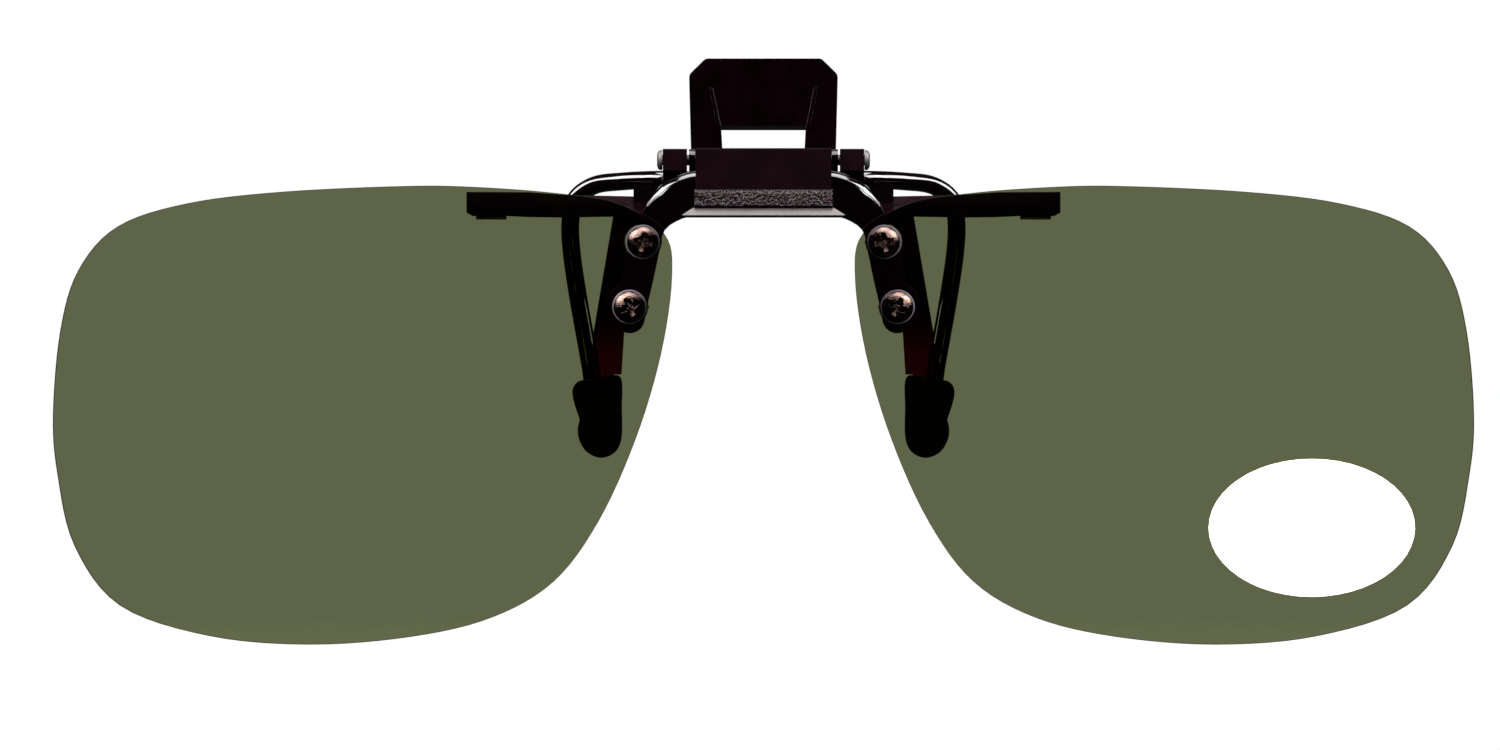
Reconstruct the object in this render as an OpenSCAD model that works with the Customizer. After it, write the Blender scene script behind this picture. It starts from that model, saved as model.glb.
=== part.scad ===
// Clip-on flip lenses for spectacles: a sprung clip that grips the rims beside the nose, with two
// rimless tinted lenses on a flip bridge that swings up in front of it.
// Frame: millimetres, +X across the face, +Z up, the front faces -Y. The origin is the middle of the
// grip: halfway between the two pairs of rubber tips, on the rear face of the front tips.

/* [Lenses] */
// Width of one lens
lens_w = 58.2; // [54:0.1:62]
// Height of one lens
lens_h = 43.0; // [40:0.1:46]
// Thickness of the lens sheet
lens_t = 1.0; // [0.8:0.1:1.1]
// Radius of the shallow sphere that the lens is bent to
lens_curve_r = 520; // [400:10:900]

/* [Hinge] */
// Distance of the hinge axle in front of the grip plane
axle_front = 3.2; // [3.1:0.05:3.3]
// Height of the hinge axle above the grip
axle_height = 24.5; // [24.4:0.05:24.6]
// Radius of the hinge pin
pin_r = 0.5; // [0.45:0.01:0.55]
// Radial running clearance of the hinge bores
pin_gap = 0.05; // [0.02:0.01:0.1]

/* [Thumb lever] */
// Angle that the thumb lever leans back at rest
lever_lean = 18; // [14:1:20]
// Length of the thumb tab above the axle
tab_l = 11.0; // [9:0.1:12]
// Thickness of the thumb tab
tab_t = 1.3; // [1:0.1:1.5]

/* [Clip] */
// Radius of the coated jaw wire
wire_r = 0.85; // [0.7:0.05:0.9]
// Thickness of the flat front legs
leg_t = 1.4; // [1.2:0.1:1.4]
// Distance from the middle to the outer end of each brow bar
brow_reach = 27.9; // [27:0.1:30]

/* [Fasteners] */
// Radius of the lens screw's thread
screw_r = 0.8; // [0.7:0.05:0.85]
// Radius of the lens screw's head
screw_head_r = 1.6; // [1.5:0.05:1.7]
// Width of the thin lens nut across its flats
nut_af = 3.2; // [3:0.1:3.4]

/* [Hidden] */
$fn = 48;

LEFT = -1;
RIGHT = 1;
bite = 0.3;                      // overlap where two shapes of one piece join

// Colours
plastic = [0.10, 0.05, 0.06];
coating = [0.04, 0.04, 0.05];
rubber = [0.09, 0.04, 0.05];
steel = [0.55, 0.55, 0.57];
dark_metal = [0.20, 0.15, 0.12];
nylon = [0.75, 0.76, 0.72];
green_tint = [0.37, 0.40, 0.28, 0.8];
paper = [0.95, 0.95, 0.94];

// Layers from front to back
axle_y = -axle_front;
axle_z = axle_height;
plate_y = [-5.6, -4.4];          // flip bridge plates and arms
arm_step = 0.3;                  // the arms lie this far behind the front of the lens plates
lens_front_y = plate_y[1] + 0.02;
lens_rear_y = lens_front_y + lens_t;
washer_y = [lens_rear_y + 0.03, lens_rear_y + 0.23];
nut_y = [washer_y[1], washer_y[1] + 0.8];
base_y = [-1.9, -0.8];           // crossbar of the base
leg_y = [base_y[0], base_y[0] + leg_t];
front_tip_y = [-2.25, 0];
rear_tip_y = [0.02, 5];

// Heights of the base: crossbar, the raised middle that carries the ears, the step beside it
crossbar_z = [19.3, 21.2];
middle_top = 22.4;
step_top = 22.07;
leg_end = 4.4;                   // the legs go on below this as tangs inside the front tips

// Pads under the brow bars
brow_pad_at = [25.58, 0.9];
pad_peg_r = 0.4;
pad_top = 19.3;

// Hinge line, from the middle outwards
knuckle_x = [3.2, 6.3];
box_half = 6.36;
hub_x = [6.4, 6.98];
ear_x = [7.17, 9.44];
pin_half = ear_x[1] + 0.54;
hinge_bore_r = pin_r + pin_gap;

// Lens screws: distance from the middle and height
screw_upper = [11.30, 16.81];
screw_lower = [12.55, 10.74];
screw_head_h = 1.0;
screw_fit = 0.02;                // radial play of the thread in plate and nut
screw_end_y = nut_y[1] + 0.1;
lens_hole_r = screw_r + 0.12;

// Jaw wire: distance from the middle, depth and height of the points it passes through
wire_route = [
    [5.0, 1.0, 22.65], [8.0, 1.0, 22.67], [10.2, 1.5, 22.71], [13.2, 3.5, 22.59],
    [15.9, 5.6, 22.25], [17.75, 6.4, 20.9], [18.22, 6.4, 18.6], [18.05, 6.1, 15.6],
    [17.45, 5.4, 11.6], [16.8, 4.3, 8.0], [16.25, 3.1, 5.0]
];
wire_tip_end = [15.4, 1.4, -1.6];
wire_sides = 10;
wire_step = 4;                   // rings between two route points

// Torsion spring
coil_wire_r = 0.17;
coil_mean_r = 0.78;
coil_half = 2.2;
coil_turns = 7.75;
coil_leg_down = 4.6;
coil_leg_back = 3.9;
coil_steps = 20;                 // rings in one turn
coil_sides = 8;

// Detent spring
detent_t = 0.2;
detent_y = [base_y[0] - detent_t, base_y[0]];

// Lens outline: its nose-side limit, its middle height, and the size that its points are drawn at
lens_inner_x = 8.5;
lens_mid_z = 0.57;
lens_drawn = [58.2, 43.0];
lens_fn = 200;

// ---------------------------------------------------------------- helpers

// A curve through the points p[0..], closed or open, with n steps between two points
function blend_point(a, b, c, d, t) =
    0.5 * (2 * b + (c - a) * t + (2 * a - 5 * b + 4 * c - d) * t * t
        + (3 * b - a - 3 * c + d) * t * t * t);
function closed_curve(p, n) =
    let (m = len(p))
    [for (i = [0 : m - 1], j = [0 : n - 1])
        blend_point(p[(i + m - 1) % m], p[i], p[(i + 1) % m], p[(i + 2) % m], j / n)];
function open_curve(p, n) =
    let (m = len(p))
    concat(
        [for (i = [0 : m - 2], j = [0 : n - 1])
            blend_point(p[max(i - 1, 0)], p[i], p[i + 1], p[min(i + 2, m - 1)], j / n)],
        [p[m - 1]]
    );
function unit(v) = v / norm(v);
function reversed(p) = [for (i = [len(p) - 1 : -1 : 0]) p[i]];
function around(middle, half) = [middle - half, middle + half];

// An outline with each corner rounded to its own radius, in n steps
function filleted(p, radii, n) =
    let (m = len(p))
    [for (i = [0 : m - 1])
        let (
            a = unit(p[(i + m - 1) % m] - p[i]),
            b = unit(p[(i + 1) % m] - p[i]),
            half = acos(a * b) / 2,
            reach = radii[i] / tan(half),
            centre = p[i] + unit(a + b) * radii[i] / sin(half),
            u = (p[i] + a * reach - centre) / radii[i],
            v = (p[i] + b * reach - centre) / radii[i],
            turn = 180 - 2 * half
        )
        for (j = [0 : n])
            centre + radii[i] * (sin(turn * (1 - j / n)) * u + sin(turn * j / n) * v) / sin(turn)];

// Rings of a round wire swept along a path; side_axis is never parallel to the path
function path_dir(p, i) = unit(p[min(i + 1, len(p) - 1)] - p[max(i - 1, 0)]);
function wire_points(p, r, sides, side_axis) =
    [for (i = [0 : len(p) - 1])
        let (t = path_dir(p, i), u = unit(cross(t, side_axis)), v = cross(t, u))
        for (k = [0 : sides - 1]) p[i] + r * (cos(360 * k / sides) * u + sin(360 * k / sides) * v)];
module swept_wire(p, r, sides, side_axis) {
    rings = len(p);
    walls = [for (i = [0 : rings - 2], k = [0 : sides - 1])
        let (a = i * sides, k2 = (k + 1) % sides)
        [a + k, a + k2, a + sides + k2, a + sides + k]];
    start_cap = [for (k = [sides - 1 : -1 : 0]) k];
    end_cap = [for (k = [0 : sides - 1]) (rings - 1) * sides + k];
    triangles = [for (w = walls, h = [0, 1]) h == 0 ? [w[0], w[2], w[1]] : [w[0], w[3], w[2]]];
    caps = [for (k = [1 : sides - 2], cap = [start_cap, end_cap]) [cap[0], cap[k + 1], cap[k]]];
    polyhedron(points = wire_points(p, r, sides, side_axis), faces = concat(triangles, caps));
}

// Mirrors what is drawn for the +X side onto the -X side
module on_side(side) {
    if (side == RIGHT) children();
    else mirror([1, 0, 0]) children();
}
module both_sides() {
    on_side(RIGHT) children();
    on_side(LEFT) children();
}

// A cylinder along X, a cylinder along Y, and a block between two corners
module bar_x(r, x, y, z) {
    translate([x[0], y, z]) rotate([0, 90, 0]) cylinder(r = r, h = x[1] - x[0]);
}
module bar_y(r, y, x, z) {
    translate([x, y[0], z]) rotate([-90, 0, 0]) cylinder(r = r, h = y[1] - y[0]);
}
module block(x, y, z) {
    translate([x[0], y[0], z[0]]) cube([x[1] - x[0], y[1] - y[0], z[1] - z[0]]);
}

// Outlines seen from the front (x, z), from the side (y, z) and from above (x, y)
module front_shape(y) {
    translate([0, y[1], 0]) rotate([90, 0, 0]) linear_extrude(y[1] - y[0]) children();
}
module side_shape(x) {
    translate([x[0], 0, 0]) rotate([90, 0, 90]) linear_extrude(x[1] - x[0]) children();
}
module plan_shape(z) {
    translate([0, 0, z[0]]) linear_extrude(z[1] - z[0]) children();
}

// A rectangle with cut corners
module cut_corner_box(x, z, c) {
    polygon([
        [x[0] + c, z[0]], [x[1] - c, z[0]], [x[1], z[0] + c], [x[1], z[1] - c],
        [x[1] - c, z[1]], [x[0] + c, z[1]], [x[0], z[1] - c], [x[0], z[0] + c]
    ]);
}

// ---------------------------------------------------------------- base

// Ear that holds the end of the hinge pin, with its web down to the crossbar
module base_ear() {
    ear_half = 1.05;
    ear_cut = 0.1;
    side_shape(ear_x)
        cut_corner_box(around(axle_y, ear_half), around(axle_z, ear_half), ear_cut);
    side_shape(ear_x)
        polygon([
            [base_y[1], crossbar_z[1]], [base_y[1], axle_z - 1.1], [axle_y + 0.9, axle_z + 0.7],
            [axle_y + 0.4, axle_z - 0.8], [base_y[0] - 0.1, crossbar_z[1]]
        ]);
}

// Brow bar: a flat bar that sweeps out and back onto the top of the spectacle rim. Seen from above it
// has a rear half and a front half, and the top of the front half falls away towards the middle.
module brow_bar() {
    reach = brow_reach;
    rear_edge = open_curve([[8, -0.8], [12, -0.8], [16, 0.7], [20, 1.7], [reach, 1.9]], 6);
    middle_line = open_curve([[reach, 0.9], [20, 0.75], [16, -0.4], [12, -1.8], [8, -1.6]], 6);
    front_edge = open_curve([[reach, -0.1], [20, -0.2], [16, -1.5], [12, -2.8], [8, -2.4]], 6);
    underside = [
        [reach, 19.6], [reach - 0.55, pad_top], [24.1, pad_top], [22, 19.2], [19, 19.16], [8, 19.3]
    ];
    rear_top = [[8, 21], [10.8, 21.09], [18.2, 21.27], [22, 21.54], [reach, 21.57]];
    front_top = open_curve([
        [8, 19.4], [9.9, 19.5], [11.5, 19.75], [14.2, 20.47], [18.2, 21.18], [22, 21.5]
    ], 4);
    depth = [-3.2, 2.2];
    height = [18, 23];
    intersection() {
        front_shape(depth) polygon(concat(underside, rear_top));
        plan_shape(height) polygon(concat(rear_edge, middle_line));
    }
    intersection() {
        front_shape(depth) polygon(concat(underside, front_top, [[reach, 21.53]]));
        plan_shape(height) polygon(concat(reversed(middle_line), front_edge));
    }
}

// Flat leg down to the front tip, with a thinner tang inside the rubber
module front_leg() {
    tang_inset = 0.25;
    front_shape(leg_y)
        polygon([
            [11.2, 19.6], [14.05, 19.6], [15.92, 8.57], [16.3, leg_end], [13.33, leg_end], [13.08, 8.3]
        ]);
    front_shape([leg_y[0] + tang_inset, leg_y[1] - tang_inset])
        polygon([
            [14.0, leg_end + bite], [16.1, leg_end + bite], [16.2, 0.5], [15.9, -1.8], [15.2, -2.3],
            [14.5, -1.8], [14.2, 0.5]
        ]);
}

module base_frame() {
    crossbar_half = 12.2;
    step_inner = 9.3;
    color(plastic) difference() {
        union() {
            block([-crossbar_half, crossbar_half], base_y, crossbar_z);
            block([-ear_x[1], ear_x[1]], base_y, [crossbar_z[1] - bite, middle_top]);
            both_sides() {
                block([step_inner, crossbar_half], base_y, [crossbar_z[1] - bite, step_top]);
                base_ear();
                brow_bar();
                front_leg();
            }
        }
        bar_x(pin_r, [-pin_half, pin_half], axle_y, axle_z);
        both_sides() translate([brow_pad_at[0], brow_pad_at[1], 19]) cylinder(r = pad_peg_r + 0.02, h = 1.5);
    }
}

// Soft pad under the end of a brow bar, with a peg up into the bar
module brow_pad(side) {
    pad_half = [1.45, 0.85];
    pad_z = [18.97, pad_top];
    peg_z = [19.1, 20.4];
    color(rubber) on_side(side) {
        block(around(brow_pad_at[0], pad_half[0]), around(brow_pad_at[1], pad_half[1]), pad_z);
        translate([brow_pad_at[0], brow_pad_at[1], peg_z[0]])
            cylinder(r = pad_peg_r, h = peg_z[1] - peg_z[0]);
    }
}

// Rubber tip over the end of a front leg
module tip_outline() {
    polygon(closed_curve([
        [13.42, 4.15], [15.2, 4.1], [16.85, 3.6], [17.15, 2.0], [17.2, 0.4], [17.42, -0.6], [17.3, -1.7],
        [16.6, -2.85], [15.3, -3.42], [14.0, -2.95], [13.33, -1.6], [13.3, 1.2]
    ], 5));
}
module front_tip(side) {
    color(rubber) on_side(side) difference() {
        front_shape(front_tip_y) tip_outline();
        front_leg();
    }
}

// ---------------------------------------------------------------- hinge hardware

module axle_pin() {
    head_r = 0.94;
    head_h = 0.5;
    color(steel) {
        bar_x(pin_r, [-pin_half + head_h, pin_half - head_h], axle_y, axle_z);
        both_sides() bar_x(head_r, [pin_half - head_h, pin_half], axle_y, axle_z);
    }
}

// Leaf spring on the crossbar; its two fingers press on the flats of the flip knuckles
module detent_spring() {
    finger_x = [3.4, 6.0];
    strip_z = [19.6, 22.2];
    finger_top = 25.2;
    color(steel) {
        block([-finger_x[1], finger_x[1]], detent_y, strip_z);
        both_sides() block(finger_x, detent_y, [strip_z[1] - bite, finger_top]);
    }
}

// Torsion spring: a coil on the hinge pin, one leg down the base, one leg back to the lever
module torsion_spring() {
    last = coil_turns * coil_steps;
    leg_down = [-coil_half, axle_y + coil_mean_r, axle_z - coil_leg_down];
    coil = [for (i = [0 : last])
        let (a = 360 * i / coil_steps, x = coil_half * (2 * i / last - 1))
        [x, axle_y + coil_mean_r * cos(a), axle_z + coil_mean_r * sin(a)]];
    leg_back = [coil_half, axle_y + coil_leg_back, axle_z - coil_mean_r];
    color(steel) swept_wire(concat([leg_down], coil, [leg_back]), coil_wire_r, coil_sides, [1, 0, 0]);
}

// ---------------------------------------------------------------- lever

// Places children in the plane of the leaning thumb tab: x across, y back from the axle, z along
module lean() {
    translate([0, axle_y, axle_z]) rotate([-lever_lean, 0, 0]) children();
}

// Outline of the thumb tab: wide, with cut top corners
module tab_outline() {
    foot = [6.75, -0.5];
    shoulder = [7.0, tab_l - 1.6];
    top = [5.45, tab_l];
    rounding = [0.2, 0.8, 0.6];
    edge = [foot, shoulder, top];
    polygon(filleted(
        concat(edge, [for (e = reversed(edge)) [-e[0], e[1]]]), concat(rounding, reversed(rounding)), 4
    ));
}

// Thumb tab on two hubs, with the foot behind the hinge that carries the jaw wires
module thumb_lever() {
    tab_y = [2.62, 2.62 + tab_t];
    window = [[-3.8, 0.95], [3.8, 0.95], [3.98, 4.3], [-3.98, 4.3]];
    rib = [[4.0, 4.1], [4.35, 4.1], [5.1, 7.95], [4.75, 7.95]];
    rib_y = [tab_y[0] - 0.3, tab_y[0] + 0.1];
    foot_y = [-0.55, 2.4];
    foot_z = [21.15, 23.85];
    hub_r = 1.03;
    neck_y = [axle_y, 0.4];
    neck_half = 0.85;
    neck_inner = hub_x[0] - 1.2;
    socket_end = 4.9;
    slot_x = around(coil_half, 0.25);
    slot_y = [-2, axle_y + coil_leg_back + 0.3];
    slot_z = [axle_z - coil_mean_r - 0.25, axle_z - coil_mean_r + 0.3];
    color(plastic) difference() {
        union() {
            lean() {
                front_shape(tab_y) difference() {
                    tab_outline();
                    polygon(window);
                }
                both_sides() front_shape(rib_y) polygon(rib);
            }
            side_shape([-hub_x[1], hub_x[1]]) cut_corner_box(foot_y, foot_z, 0.4);
            both_sides() {
                bar_x(hub_r, hub_x, axle_y, axle_z);
                block(hub_x, neck_y, around(axle_z, neck_half));
                block(
                    [neck_inner, hub_x[1]], [foot_y[0], neck_y[1]],
                    [foot_z[1] - bite, axle_z + neck_half]
                );
            }
        }
        both_sides() {
            bar_x(hinge_bore_r, [hub_x[0] - 0.1, hub_x[1] + 0.1], axle_y, axle_z);
            bar_x(wire_r, [socket_end, hub_x[1] + 1], wire_route[0][1], wire_route[0][2]);
        }
        block(slot_x, slot_y, slot_z);
    }
}

// Jaw wire from the lever down to the rear tip
module jaw_wire(side) {
    straight_in = [for (k = [0 : 2]) wire_route[0] + k * [1, 0, 0]];
    bend = open_curve([for (i = [1 : len(wire_route) - 1]) wire_route[i]], wire_step);
    color(coating) on_side(side)
        swept_wire(concat(straight_in, bend, [wire_tip_end]), wire_r, wire_sides, [0, 1, 0]);
}

// Rubber tip on the end of the jaw wire
module rear_tip(side) {
    last_route = wire_route[len(wire_route) - 1];
    along = last_route - wire_tip_end;
    yaw = atan2(along[1], along[0]);
    tilt = acos(along[2] / norm(along));
    color(rubber) on_side(side) difference() {
        intersection() {
            front_shape(rear_tip_y) polygon(closed_curve([
                [14.3, 3.85], [16.0, 3.95], [17.4, 3.75], [17.95, 2.9], [17.75, 1.6], [17.3, 0.2],
                [17.0, -1.4], [16.4, -2.7], [15.4, -3.25], [14.2, -2.9], [13.6, -1.6], [13.75, 1.2]
            ], 5));
            side_shape([13, 19]) polygon([
                [rear_tip_y[0], 4.2], [4.35, 4.2], [4.0, 2.2], [3.3, -0.6], [2.55, -2.6], [1.3, -3.6],
                [rear_tip_y[0], -3.6]
            ]);
        }
        translate(wire_tip_end) rotate([0, tilt, yaw]) cylinder(r = wire_r + 0.02, h = 12);
    }
}

// ---------------------------------------------------------------- flip bridge

// Arm and lens plate of one side, seen from the front, with a round boss at the lower screw
module plate_outline() {
    end_at = [12.52, 9.66];
    end_r = 1.41;
    boss_r = 2.2;
    boss_side = [[11.3, 13.5], [16, 13.5], [16, 8.2], [12.5, 8.2]];
    outer_edge = open_curve([
        [6.0, 23.45], [7.07, 23.33], [8.92, 22.63], [10.17, 21.53], [11.10, 19.98],
        [12.0, 17.8], [12.64, 15.94], [13.32, 13.26], [13.85, 11.0], [end_at[0] + end_r, end_at[1]]
    ], 3);
    round_end = [for (a = [20 : 20 : 160]) end_at + end_r * [cos(a), -sin(a)]];
    inner_edge = open_curve([
        [end_at[0] - end_r, end_at[1] - 0.1], [10.82, 11.1], [10.31, 13.26], [9.74, 15.98], [9.23, 17.94],
        [7.6, 19.0], [6.0, 19.3]
    ], 3);
    polygon(concat(outer_edge, round_end, inner_edge));
    intersection() {
        translate(screw_lower) circle(r = boss_r);
        polygon(boss_side);
    }
}

// Hinge box: its wall, the textured band low on the front, and the finger lip under the band
module box_body() {
    lip_z = [19.1, 20.0];
    lip_y = -6.6;
    lip_half = [6.6, 7.61];
    wall = [
        [-4.4, axle_z + 1.1], [-5.3, axle_z + 1.1], [-5.4, axle_z + 1.0], [-5.4, 21.8], [-5.2, 19.6],
        [-4.4, 19.3]
    ];
    band = [[-4.6, 21.69], [-5.6, 21.69], [-5.95, 20.16], [-5.4, 19.6], [-4.6, 19.6]];
    band_half = box_half + 0.14;
    lip = [
        [plate_y[1], lip_z[1]], [-5.8, lip_z[1]], [lip_y, lip_z[0] + 0.2], [lip_y, lip_z[0]],
        [plate_y[1], lip_z[0]]
    ];
    lip_edge = [[lip_half[1] - 0.11, lip_z[0]], [lip_half[1], lip_z[0] + 0.25], [lip_half[0], lip_z[1]]];
    side_shape([-box_half, box_half]) polygon(wall);
    side_shape([-band_half, band_half]) polygon(band);
    intersection() {
        side_shape([-8, 8]) polygon(lip);
        front_shape([lip_y, plate_y[1]])
            polygon(concat(lip_edge, [for (e = reversed(lip_edge)) [-e[0], e[1]]]));
    }
}

// Box with the hinge knuckles, cheeks behind its ends, and the arms with their lens plates
module flip_bridge() {
    knuckle_half = 1.1;
    knuckle_cut = 0.3;
    cheek_x = [box_half - 1.0, box_half];
    cheek_bottom = 19.6;
    plate_top = [
        [8.5, 17.3], [9.2, 17.95], [9.9, 18.61], [11.5, 19.6], [14, 20.5], [16, 20.5], [16, 7], [8.5, 7]
    ];
    color(plastic) difference() {
        union() {
            box_body();
            both_sides() {
                side_shape(knuckle_x)
                    cut_corner_box(
                        [axle_y - knuckle_half - bite, axle_y + knuckle_half],
                        around(axle_z, knuckle_half), knuckle_cut
                    );
                block(
                    cheek_x, [plate_y[1] - bite, axle_y + 0.5],
                    [cheek_bottom, axle_z - knuckle_half + bite]
                );
                front_shape([plate_y[0] + arm_step, plate_y[1]]) plate_outline();
                intersection() {
                    front_shape(plate_y) plate_outline();
                    front_shape(plate_y) polygon(plate_top);
                }
            }
        }
        bar_x(hinge_bore_r, [-7, 7], axle_y, axle_z);
        both_sides() for (at = [screw_upper, screw_lower]) bar_y(screw_r + screw_fit, [-6, -4], at[0], at[1]);
    }
}

// ---------------------------------------------------------------- lenses

// Lens outline: a rounded oblong, cut away beside the nose
module lens_outline() {
    stretch = [lens_w / lens_drawn[0], lens_h / lens_drawn[1]];
    middle = [lens_inner_x, lens_mid_z];
    rim = closed_curve([
        [33.5, 22.07], [45, 21.55], [54, 20.47], [60.6, 18.3], [64.3, 14.2], [66.0, 8.57], [66.7, 0.7],
        [66.3, -4.9], [64.7, -11.67], [60.4, -17.3], [52, -20.15], [42.5, -20.94], [33, -20.2],
        [25.5, -18.4], [19.7, -15.04], [15.5, -9.42], [12.0, -1.7], [9.6, 6.33], [8.57, 13.6],
        [9.3, 17.6], [13.5, 20.4], [19.4, 21.4], [26.9, 21.97]
    ], 6);
    polygon([for (p = rim) let (d = p - middle) middle + [d[0] * stretch[0], d[1] * stretch[1]]]);
}

// Space between two spheres round one centre; the lens's own touches the plates between the screws
module lens_shell(lift, thickness) {
    pole = (screw_upper + screw_lower) / 2;
    centre = [pole[0], lens_front_y + lens_curve_r, pole[1]];
    outer_r = lens_curve_r + lift;
    difference() {
        translate(centre) sphere(r = outer_r, $fn = lens_fn);
        translate(centre) sphere(r = outer_r - thickness, $fn = lens_fn);
    }
}

module lens(side) {
    color(green_tint) on_side(side) difference() {
        intersection() {
            front_shape([lens_front_y - 1, lens_front_y + 9]) lens_outline();
            lens_shell(0, lens_t);
        }
        for (at = [screw_upper, screw_lower]) bar_y(lens_hole_r, [-6, 0], at[0], at[1]);
    }
}

// Blank oval label on the front of the lens on the +X side
module lens_label() {
    label_t = 0.08;
    label_gap = 0.004;
    label_centre = [51.44, -9.98];
    label_half = [9.7, 6.47];
    oval = [for (a = [0 : 7.5 : 352.5]) label_centre + [label_half[0] * cos(a), label_half[1] * sin(a)]];
    color(paper) intersection() {
        front_shape([lens_front_y - 1, lens_front_y + 9]) polygon(oval);
        lens_shell(label_t + label_gap, label_t);
    }
}

// ---------------------------------------------------------------- fasteners

// Pan-head screw with a cross recess, through plate, lens, washer and nut
module lens_screw(side, at) {
    recess_w = 0.42;
    recess_l = 1.9;
    recess_d = 0.55;
    dome_r = 2.4;
    head_y = [plate_y[0] - screw_head_h, plate_y[0]];
    color(dark_metal) on_side(side) difference() {
        union() {
            intersection() {
                bar_y(screw_head_r, head_y, at[0], at[1]);
                translate([at[0], head_y[0] + dome_r, at[1]]) sphere(r = dome_r);
            }
            bar_y(screw_r, [plate_y[0] - bite, screw_end_y], at[0], at[1]);
        }
        translate([at[0], head_y[0], at[1]])
            for (turn = [0, 90]) rotate([0, turn, 0])
                cube([recess_l, 2 * recess_d, recess_w], center = true);
    }
}

module lens_nut(side, at) {
    corner_r = nut_af / 2 / cos(30);
    color(dark_metal) on_side(side) difference() {
        translate([at[0], nut_y[0], at[1]]) rotate([-90, 0, 0])
            cylinder(r = corner_r, h = nut_y[1] - nut_y[0], $fn = 6);
        bar_y(screw_r + screw_fit, [nut_y[0] - 1, nut_y[1] + 1], at[0], at[1]);
    }
}

module lens_washer(side, at) {
    washer_r = 1.75;
    color(nylon) on_side(side) difference() {
        bar_y(washer_r, washer_y, at[0], at[1]);
        bar_y(lens_hole_r, [washer_y[0] - 1, washer_y[1] + 1], at[0], at[1]);
    }
}

// ---------------------------------------------------------------- nodes

base_frame();
brow_pad(LEFT);  // brow_pad_left
brow_pad(RIGHT);  // brow_pad_right
front_tip(LEFT);  // front_tip_left
front_tip(RIGHT);  // front_tip_right
axle_pin();
detent_spring();
torsion_spring();
thumb_lever();
jaw_wire(LEFT);  // jaw_wire_left
jaw_wire(RIGHT);  // jaw_wire_right
rear_tip(LEFT);  // rear_tip_left
rear_tip(RIGHT);  // rear_tip_right
flip_bridge();
lens(LEFT);  // lens_left
lens(RIGHT);  // lens_right
lens_label();
lens_screw(LEFT, screw_upper);  // screw_upper_left
lens_screw(RIGHT, screw_upper);  // screw_upper_right
lens_screw(LEFT, screw_lower);  // screw_lower_left
lens_screw(RIGHT, screw_lower);  // screw_lower_right
lens_nut(LEFT, screw_upper);  // nut_upper_left
lens_nut(RIGHT, screw_upper);  // nut_upper_right
lens_nut(LEFT, screw_lower);  // nut_lower_left
lens_nut(RIGHT, screw_lower);  // nut_lower_right
lens_washer(LEFT, screw_upper);  // washer_upper_left
lens_washer(RIGHT, screw_upper);  // washer_upper_right
lens_washer(LEFT, screw_lower);  // washer_lower_left
lens_washer(RIGHT, screw_lower);  // washer_lower_right
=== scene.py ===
# Looks of the clip-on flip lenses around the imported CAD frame: refined meshes, materials, light, camera.
import math

import bmesh
import bpy
import numpy as np
from mathutils import Matrix, Vector, noise


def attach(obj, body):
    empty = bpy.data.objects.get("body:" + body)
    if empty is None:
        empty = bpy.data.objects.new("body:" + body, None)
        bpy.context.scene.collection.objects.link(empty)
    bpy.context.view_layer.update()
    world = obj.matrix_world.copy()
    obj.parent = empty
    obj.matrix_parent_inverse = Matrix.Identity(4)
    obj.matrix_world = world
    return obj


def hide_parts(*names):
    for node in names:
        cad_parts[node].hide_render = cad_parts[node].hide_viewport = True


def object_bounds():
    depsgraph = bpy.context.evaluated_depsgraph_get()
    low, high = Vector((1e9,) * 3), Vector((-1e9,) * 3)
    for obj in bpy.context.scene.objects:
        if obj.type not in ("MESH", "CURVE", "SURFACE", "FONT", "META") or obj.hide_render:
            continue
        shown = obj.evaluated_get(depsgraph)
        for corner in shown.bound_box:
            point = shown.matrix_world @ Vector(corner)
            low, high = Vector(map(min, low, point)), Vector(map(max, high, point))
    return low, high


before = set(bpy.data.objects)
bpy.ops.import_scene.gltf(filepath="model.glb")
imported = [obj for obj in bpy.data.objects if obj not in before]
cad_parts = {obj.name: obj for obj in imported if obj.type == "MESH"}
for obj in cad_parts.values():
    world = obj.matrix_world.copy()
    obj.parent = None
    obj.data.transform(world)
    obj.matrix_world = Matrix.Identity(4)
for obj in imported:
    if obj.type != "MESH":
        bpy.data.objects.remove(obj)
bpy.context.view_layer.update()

MM = 0.001
SIDES = {"left": -1, "right": 1}
LEVELS = ("upper", "lower")

# Lengths in millimetres, most of them as in the CAD model
AXLE = (-3.2, 24.5)
PIN_HALF, PIN_R, PIN_HEAD_R, PIN_HEAD_DEEP = 9.98, 0.5, 0.94, 0.5
WIRE_R = 0.85
WIRE_ROUTE = [
    (5.0, 1.0, 22.65), (8.0, 1.0, 22.67), (10.2, 1.5, 22.71), (13.2, 3.5, 22.59),
    (15.9, 5.6, 22.25), (17.75, 6.4, 20.9), (18.22, 6.4, 18.6), (18.05, 6.1, 15.6),
    (17.45, 5.4, 11.6), (16.8, 4.3, 8.0), (16.25, 3.1, 5.0),
]
WIRE_TIP_END = (15.4, 1.4, -1.6)
COIL_WIRE_R, COIL_R, COIL_HALF, COIL_TURNS = 0.17, 0.78, 2.2, 7.75
COIL_LEG_DOWN, COIL_LEG_BACK = 4.6, 3.9
SCREWS = {"upper": (11.30, 16.81), "lower": (12.55, 10.74)}
SCREW_TURN = {"upper": -12, "lower": 25}
SCREW_HEAD_R, SCREW_HEAD_H, SCREW_R, SCREW_END = 1.6, 1.0, 0.8, -2.2
SCREW_DOME = [(0.35, 0.005), (0.7, 0.05), (1.0, 0.14), (1.22, 0.28), (1.37, 0.46), (1.47, 0.62), (1.5, 0.78)]
PLATE_FRONT, ARM_FRONT = -5.6, -5.3
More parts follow.
